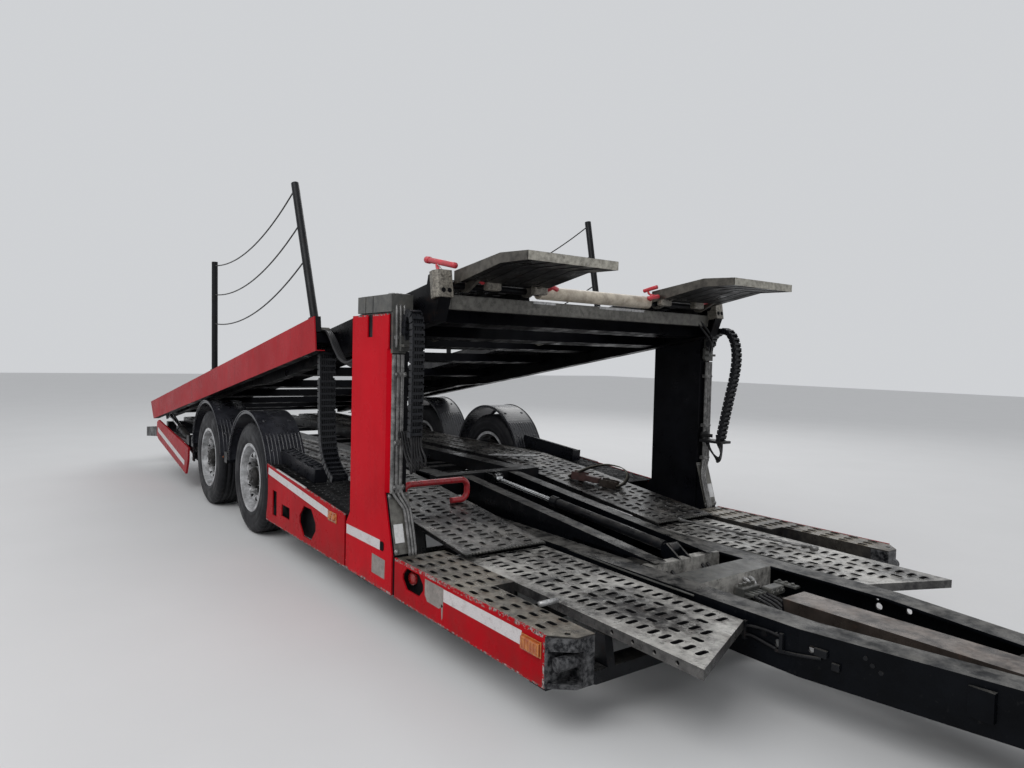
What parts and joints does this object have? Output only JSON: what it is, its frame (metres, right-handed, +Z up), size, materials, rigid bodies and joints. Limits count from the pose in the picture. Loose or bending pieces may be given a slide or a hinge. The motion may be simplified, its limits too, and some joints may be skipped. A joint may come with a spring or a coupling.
{
  "type": "car transporter trailer",
  "caption": "Drawbar car transporter trailer with a sloping lifting upper deck, perforated tracks, red skirts and a sliding drawbar.",
  "frame": {"origin": "on the floor below the middle of the overall length and width", "axes": "+X forward to the towing eye, +Y to the trailer's left, +Z up"},
  "size_m": [10.125, 2.566, 2.5967],
  "materials": {
    "red_paint": "worn gloss",
    "black_steel": "worn satin",
    "grey_steel": "worn matt",
    "track_steel": "dirty galvanised",
    "cast_steel": "forged",
    "chrome": "polished",
    "rim_silver": "dirty satin",
    "tyre": "worn",
    "rubber": "matt",
    "black_plastic": "scuffed",
    "cream_paint": "worn",
    "rope": "wire rope",
    "amber_lens": "lens",
    "red_lens": "lens"
  },
  "bodies": {
    "chassis": {"ladder_rails": "black_steel", "inner_rails": "black_steel", "cross_members": "black_steel", "axles": "black_steel", "suspension_arms": "black_steel", "air_springs": "rubber", "mudguards": "black_plastic", "lower_tracks": "track_steel", "side_platforms": "track_steel", "side_skirts": "red_paint", "platform_end_boxes": "black_steel", "lift_posts": "black_steel", "post_covers": "red_paint", "post_guides": "grey_steel", "tail_skirts": "red_paint", "tail_bar": "black_steel", "tail_lamps": "red_lens", "side_lamps": "amber_lens", "wheel_stop_bar": "red_paint"},
    "drawbar": {"drawbar": "black_steel", "drawbar_eye": "cast_steel"},
    "jack_leg": {"jack_leg": "grey_steel"},
    "drawbar_ram_barrel": {"drawbar_ram_barrel": "black_steel"},
    "drawbar_ram_rod": {"drawbar_ram_rod": "chrome"},
    "lift_masts": {"lift_masts": "grey_steel"},
    "upper_deck": {"deck_girders": "black_steel", "deck_cross_members": "black_steel", "deck_side_panels": "red_paint", "deck_tracks": "track_steel", "handrail_posts": "black_steel", "handrail_ropes": "rope", "tip_hinge_tube": "cream_paint"},
    "deck_tip_left": {"deck_tip_left": "track_steel"},
    "deck_tip_right": {"deck_tip_right": "track_steel"},
    "front_track_left": {"front_track_left": "track_steel"},
    "front_track_right": {"front_track_right": "track_steel"},
    "deck_ram_barrels": {"deck_ram_barrels": "black_steel"},
    "deck_ram_rods": {"deck_ram_rods": "chrome"},
    "front_left_wheel": {"front_left_rim": "rim_silver", "front_left_tyre": "tyre"},
    "front_right_wheel": {"front_right_rim": "rim_silver", "front_right_tyre": "tyre"},
    "rear_left_wheel": {"rear_left_rim": "rim_silver", "rear_left_tyre": "tyre"},
    "rear_right_wheel": {"rear_right_rim": "rim_silver", "rear_right_tyre": "tyre"}
  },
  "joints": [
    {"name": "front_left_wheel_spin", "type": "hinge", "parent": "chassis", "child": "front_left_wheel", "pos_m": [-0.609, 1.132, 0.433], "axis": [0, 1, 0], "continuous": true},
    {"name": "front_right_wheel_spin", "type": "hinge", "parent": "chassis", "child": "front_right_wheel", "pos_m": [-0.609, -1.132, 0.433], "axis": [0, 1, 0], "continuous": true},
    {"name": "rear_left_wheel_spin", "type": "hinge", "parent": "chassis", "child": "rear_left_wheel", "pos_m": [-1.889, 1.132, 0.433], "axis": [0, 1, 0], "continuous": true},
    {"name": "rear_right_wheel_spin", "type": "hinge", "parent": "chassis", "child": "rear_right_wheel", "pos_m": [-1.889, -1.132, 0.433], "axis": [0, 1, 0], "continuous": true},
    {"name": "drawbar_slide", "type": "slide", "parent": "chassis", "child": "drawbar", "axis": [1, 0, 0], "range_m": [-0.5, 0]},
    {"name": "jack_leg_swing", "type": "hinge", "parent": "drawbar", "child": "jack_leg", "pos_m": [4.2, 0.356, 0.33], "axis": [0, 1, 0], "range_deg": [-90, 0]},
    {"name": "drawbar_ram_pivot", "type": "hinge", "parent": "drawbar", "child": "drawbar_ram_barrel", "pos_m": [2.6, 0, 0.43], "axis": [0, 1, 0], "range_deg": [-0.1, 2.18]},
    {"name": "drawbar_ram_stroke", "type": "slide", "parent": "drawbar_ram_barrel", "child": "drawbar_ram_rod", "axis": [-0.9967, 0, 0.0815], "range_m": [-0.4996, 0]},
    {"name": "mast_lift", "type": "slide", "parent": "chassis", "child": "lift_masts", "axis": [0, 0, 1], "range_m": [0, 0.6]},
    {"name": "deck_pitch", "type": "hinge", "parent": "lift_masts", "child": "upper_deck", "pos_m": [1.655, 0, 1.688], "axis": [0, 1, 0], "range_deg": [0, 10.5]},
    {"name": "deck_tip_left_hinge", "type": "hinge", "parent": "upper_deck", "child": "deck_tip_left", "pos_m": [1.961, 0.728, 1.788], "axis": [0, 1, 0], "range_deg": [-70, 0]},
    {"name": "front_track_left_slide", "type": "slide", "parent": "chassis", "child": "front_track_left", "axis": [0.9999, 0, -0.0107], "range_m": [-0.6, 0]},
    {"name": "deck_tip_right_hinge", "type": "hinge", "parent": "upper_deck", "child": "deck_tip_right", "pos_m": [1.961, -0.728, 1.788], "axis": [0, 1, 0], "range_deg": [-70, 0]},
    {"name": "front_track_right_slide", "type": "slide", "parent": "chassis", "child": "front_track_right", "axis": [0.9999, 0, -0.0107], "range_m": [-0.6, 0]},
    {"name": "deck_ram_pivot", "type": "hinge", "parent": "chassis", "child": "deck_ram_barrels", "pos_m": [-2.65, 0, 0.33], "axis": [0, 1, 0], "range_deg": [-0.5, 30.57]},
    {"name": "deck_ram_stroke", "type": "slide", "parent": "deck_ram_barrels", "child": "deck_ram_rods", "axis": [-0.9727, 0, 0.232], "range_m": [0, 0.6076]}
  ],
  "couplings": [
    {"joint": "drawbar_ram_pivot", "follows": "drawbar_slide", "rad_per_m": -0.07257},
    {"joint": "drawbar_ram_stroke", "follows": "drawbar_slide", "ratio": 0.9952},
    {"joint": "deck_ram_pivot", "follows": "deck_pitch", "ratio": 2.8642},
    {"joint": "deck_ram_stroke", "follows": "deck_pitch", "m_per_rad": 3.2883}
  ]
}
